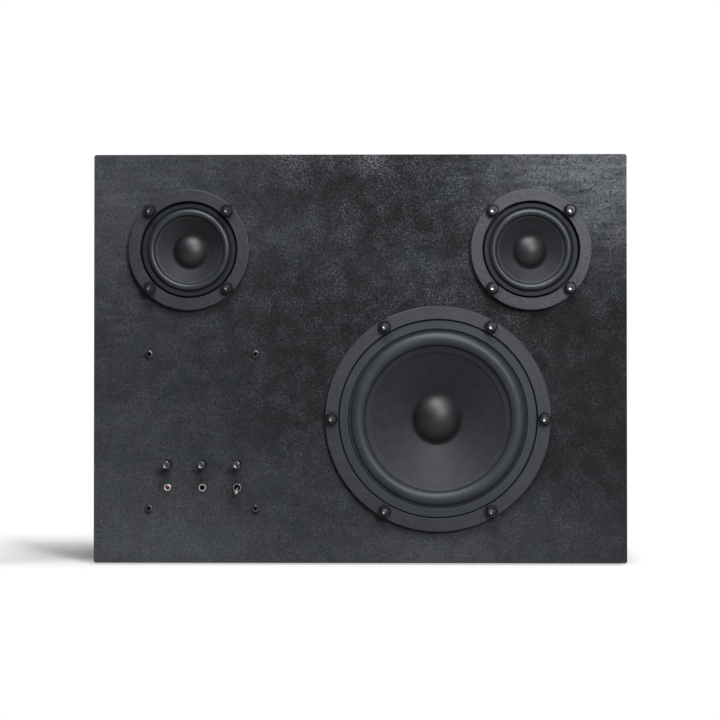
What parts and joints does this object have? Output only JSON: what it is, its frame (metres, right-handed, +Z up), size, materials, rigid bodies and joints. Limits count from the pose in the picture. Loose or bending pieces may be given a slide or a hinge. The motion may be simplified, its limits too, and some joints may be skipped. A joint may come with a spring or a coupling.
{
  "type": "powered speaker",
  "caption": "Box-shaped powered speaker in blackened steel with a large woofer, small full-range drivers, bare rod controls, a toggle switch, an audio socket and a rear mains inlet.",
  "frame": {"origin": "centre of the bounding box's base, on the floor under the feet", "axes": "+X to the right seen from the front, +Y from the front panel to the rear, +Z up"},
  "size_m": [0.39, 0.202, 0.3005],
  "materials": {
    "blackened_steel": "blackened hot-rolled steel, waxed, mottled",
    "powder_coat": "fine-grained powder coat",
    "black_oxide": "black oxide",
    "basket": "satin dark grey paint on a casting",
    "rubber": "satin",
    "cone": "matte dyed pulp",
    "dust_cap": "satin",
    "foam": "matte closed-cell foam",
    "felt": "wool felt",
    "spider_cloth": "resin-dipped cloth",
    "copper": "enamelled copper wire on a tube",
    "ferrite": "sintered",
    "zinc_steel": "zinc plated",
    "dark_steel": "turned and blackened",
    "nickel": "nickel plated",
    "lens": "clear tinted",
    "circuit_board": "solder mask",
    "aluminium": "natural extrusion",
    "black_plastic": "moulded",
    "contact_brass": "nickel plated contacts",
    "cable": "matte insulation"
  },
  "bodies": {
    "cabinet": {"amp_board": "circuit_board", "amp_heat_sink": "aluminium", "amp_plate": "zinc_steel", "amp_screws": "black_oxide", "aux_jack": "nickel", "cabinet_wrap": "blackened_steel", "control_pots": "zinc_steel", "damping_felt": "felt", "feet": "rubber", "front_panel": "blackened_steel", "inlet_pins": "contact_brass", "led_bezel": "nickel", "led_lens": "lens", "left_driver_basket": "basket", "left_driver_gasket": "foam", "left_driver_magnet": "ferrite", "left_driver_screws": "black_oxide", "left_driver_spider": "spider_cloth", "left_driver_surround": "rubber", "left_driver_top_plate": "zinc_steel", "left_driver_trim_ring": "powder_coat", "left_driver_yoke": "zinc_steel", "mains_inlet": "black_plastic", "power_supply": "circuit_board", "rear_panel": "blackened_steel", "rear_panel_screws": "black_oxide", "rear_seal": "foam", "right_driver_basket": "basket", "right_driver_gasket": "foam", "right_driver_magnet": "ferrite", "right_driver_screws": "black_oxide", "right_driver_spider": "spider_cloth", "right_driver_surround": "rubber", "right_driver_top_plate": "zinc_steel", "right_driver_trim_ring": "powder_coat", "right_driver_yoke": "zinc_steel", "switch_body": "nickel", "wiring_harness": "cable", "woofer_basket": "basket", "woofer_gasket": "foam", "woofer_magnet": "ferrite", "woofer_screws": "black_oxide", "woofer_spider": "spider_cloth", "woofer_surround": "rubber", "woofer_top_plate": "zinc_steel", "woofer_trim_ring": "powder_coat", "woofer_yoke": "zinc_steel"},
    "volume_knob": {"volume_knob": "dark_steel"},
    "bass_knob": {"bass_knob": "dark_steel"},
    "treble_knob": {"treble_knob": "dark_steel"},
    "switch_lever": {"switch_lever": "nickel"},
    "woofer_diaphragm": {"woofer_cone": "cone", "woofer_dust_cap": "dust_cap", "woofer_voice_coil": "copper"},
    "left_driver_diaphragm": {"left_driver_cone": "cone", "left_driver_dust_cap": "dust_cap", "left_driver_voice_coil": "copper"},
    "right_driver_diaphragm": {"right_driver_cone": "cone", "right_driver_dust_cap": "dust_cap", "right_driver_voice_coil": "copper"}
  },
  "joints": [
    {"name": "volume_knob_turn", "type": "hinge", "parent": "cabinet", "child": "volume_knob", "pos_m": [-0.1409, -0.089, 0.0735], "axis": [0, 1, 0], "range_deg": [-150, 150]},
    {"name": "bass_knob_turn", "type": "hinge", "parent": "cabinet", "child": "bass_knob", "pos_m": [-0.1153, -0.089, 0.0735], "axis": [0, 1, 0], "range_deg": [-150, 150]},
    {"name": "treble_knob_turn", "type": "hinge", "parent": "cabinet", "child": "treble_knob", "pos_m": [-0.0897, -0.089, 0.0735], "axis": [0, 1, 0], "range_deg": [-150, 150]},
    {"name": "switch_lever_throw", "type": "hinge", "parent": "cabinet", "child": "switch_lever", "pos_m": [-0.0897, -0.087, 0.0565], "axis": [-1, 0, 0], "range_deg": [0, 26]},
    {"name": "woofer_stroke", "type": "slide", "parent": "cabinet", "child": "woofer_diaphragm", "axis": [0, -1, 0], "range_m": [-0.004, 0.004], "stiffness_N_per_m": 1000, "deforming": ["woofer_surround", "woofer_spider"]},
    {"name": "left_driver_stroke", "type": "slide", "parent": "cabinet", "child": "left_driver_diaphragm", "axis": [0, -1, 0], "range_m": [-0.002, 0.002], "stiffness_N_per_m": 900, "deforming": ["left_driver_surround", "left_driver_spider"]},
    {"name": "right_driver_stroke", "type": "slide", "parent": "cabinet", "child": "right_driver_diaphragm", "axis": [0, -1, 0], "range_m": [-0.002, 0.002], "stiffness_N_per_m": 900, "deforming": ["right_driver_surround", "right_driver_spider"]}
  ]
}
